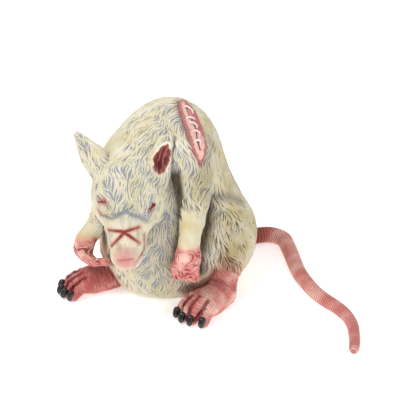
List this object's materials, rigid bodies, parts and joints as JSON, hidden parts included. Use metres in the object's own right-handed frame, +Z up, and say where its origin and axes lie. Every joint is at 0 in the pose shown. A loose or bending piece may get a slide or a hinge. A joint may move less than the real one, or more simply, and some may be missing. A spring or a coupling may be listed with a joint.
{
  "type": "moulded rat figure",
  "caption": "Seated rat figure in painted latex, hunched over its belly with its head hanging, pointed ears, clawed feet, a sewn wound on the back and a long ringed tail.",
  "frame": {"origin": "centre of the flat seat that the figure rests on, on the floor under the body", "axes": "+Z up, the figure faces -Y, its left side is +X, its tail lies on the floor towards +X"},
  "size_m": [0.2942, 0.2293, 0.1781],
  "materials": {
    "fur_latex": "matt cream latex with a blue-grey wash in the strokes",
    "skin_latex": "satin pink latex with a dark red wash",
    "tail_latex": "satin pink latex, dark red at the root",
    "wound_latex": "satin pink latex",
    "claw_paint": "gloss black",
    "eye_paint": "gloss red",
    "stitch_paint": "white thread, painted"
  },
  "bodies": {
    "root": {"claw_left_1": "claw_paint", "claw_left_2": "claw_paint", "claw_left_3": "claw_paint", "claw_left_4": "claw_paint", "claw_right_1": "claw_paint", "claw_right_2": "claw_paint", "claw_right_3": "claw_paint", "claw_right_4": "claw_paint", "ear_left": "fur_latex", "ear_right": "fur_latex", "eye_left": "eye_paint", "eye_right": "eye_paint", "foot_left": "skin_latex", "foot_right": "skin_latex", "forearm_left": "fur_latex", "forearm_right": "fur_latex", "hand_left": "skin_latex", "hand_right": "skin_latex", "head": "fur_latex", "stitch_1": "stitch_paint", "stitch_2": "stitch_paint", "stitch_3": "stitch_paint", "stitch_4": "stitch_paint", "stitch_5": "stitch_paint", "tail_1": "tail_latex", "tail_2": "tail_latex", "tail_3": "tail_latex", "tail_4": "tail_latex", "thigh_left": "fur_latex", "thigh_right": "fur_latex", "torso": "fur_latex", "upper_arm_left": "fur_latex", "upper_arm_right": "fur_latex", "wound": "wound_latex"}
  },
  "joints": []
}
